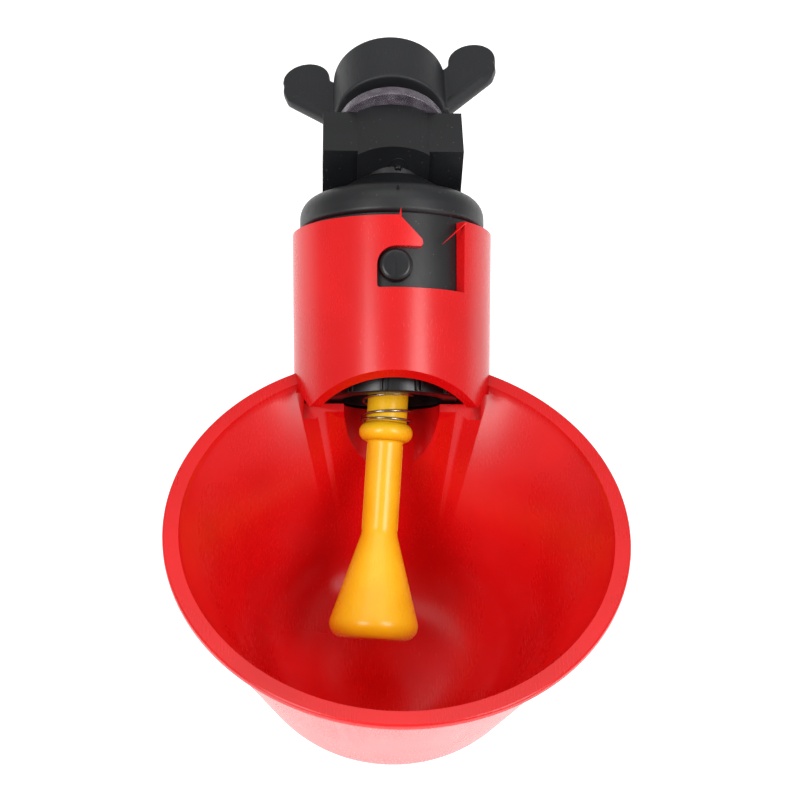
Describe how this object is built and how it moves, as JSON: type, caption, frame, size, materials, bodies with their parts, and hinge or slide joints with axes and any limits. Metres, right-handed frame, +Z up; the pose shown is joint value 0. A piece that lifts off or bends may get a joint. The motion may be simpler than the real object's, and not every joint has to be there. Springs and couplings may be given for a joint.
{
  "type": "poultry cup drinker",
  "caption": "Red plastic poultry drinking cup on a black hose-clamp valve body, with a yellow spring-loaded peck trigger and a wing nut.",
  "frame": {"origin": "centre of the hose bore in the valve body", "axes": "+X along the hose bore, +Y back along the clamp screw and wing nut, +Z up with the cup's rim level"},
  "size_m": [0.08, 0.1412, 0.0753],
  "materials": {
    "red_plastic": "moulded polypropylene, smooth, slightly waxy gloss",
    "black_plastic": "moulded polypropylene, satin with fine mould grain",
    "nut_plastic": "moulded polypropylene, semi-gloss",
    "wing_plastic": "moulded nylon, satin",
    "black_rubber": "smooth moulded rubber",
    "yellow_plastic": "moulded acetal, smooth gloss",
    "spring_steel": "drawn stainless spring wire",
    "clear_plastic": "clear soft plastic with a faint violet tint"
  },
  "bodies": {
    "root": {"valve_body": "black_plastic", "retaining_nut": "nut_plastic", "seat_gasket": "black_rubber", "inlet_seal": "black_rubber", "clear_washer": "clear_plastic"},
    "cup": {"drinking_cup": "red_plastic"},
    "spring": {"return_spring": "spring_steel"},
    "trigger": {"trigger_stem": "yellow_plastic", "valve_head": "black_rubber"},
    "pad": {"clamp_pad": "black_plastic"},
    "nut": {"wing_nut": "wing_plastic"}
  },
  "joints": [
    {"name": "cup_twist", "type": "hinge", "parent": "root", "child": "cup", "pos_m": [0, 0, 0], "axis": [0, 0.829, 0.5592], "range_deg": [-30, 0]},
    {"name": "trigger_tilt", "type": "hinge", "parent": "root", "child": "spring", "pos_m": [0, -0.02898, -0.01954], "axis": [1, 0, 0], "range_deg": [-8, 5], "stiffness_Nm_per_rad": 0.3, "deforming": ["return_spring"]},
    {"name": "trigger_sway", "type": "hinge", "parent": "spring", "child": "trigger", "pos_m": [0, -0.02898, -0.01954], "axis": [0, -0.5592, 0.829], "range_deg": [-4, 11], "stiffness_Nm_per_rad": 0.3, "deforming": ["return_spring"]},
    {"name": "wing_advance", "type": "slide", "parent": "root", "child": "pad", "axis": [0, 1, 0], "range_m": [-0.00251, 0.00602]},
    {"name": "wing_turn", "type": "hinge", "parent": "pad", "child": "nut", "pos_m": [0, 0.016, 0], "axis": [0, 1, 0], "range_deg": [-450, 1080]}
  ],
  "couplings": [
    {"joint": "wing_advance", "follows": "wing_turn", "m_per_rad": 0.00031831}
  ]
}
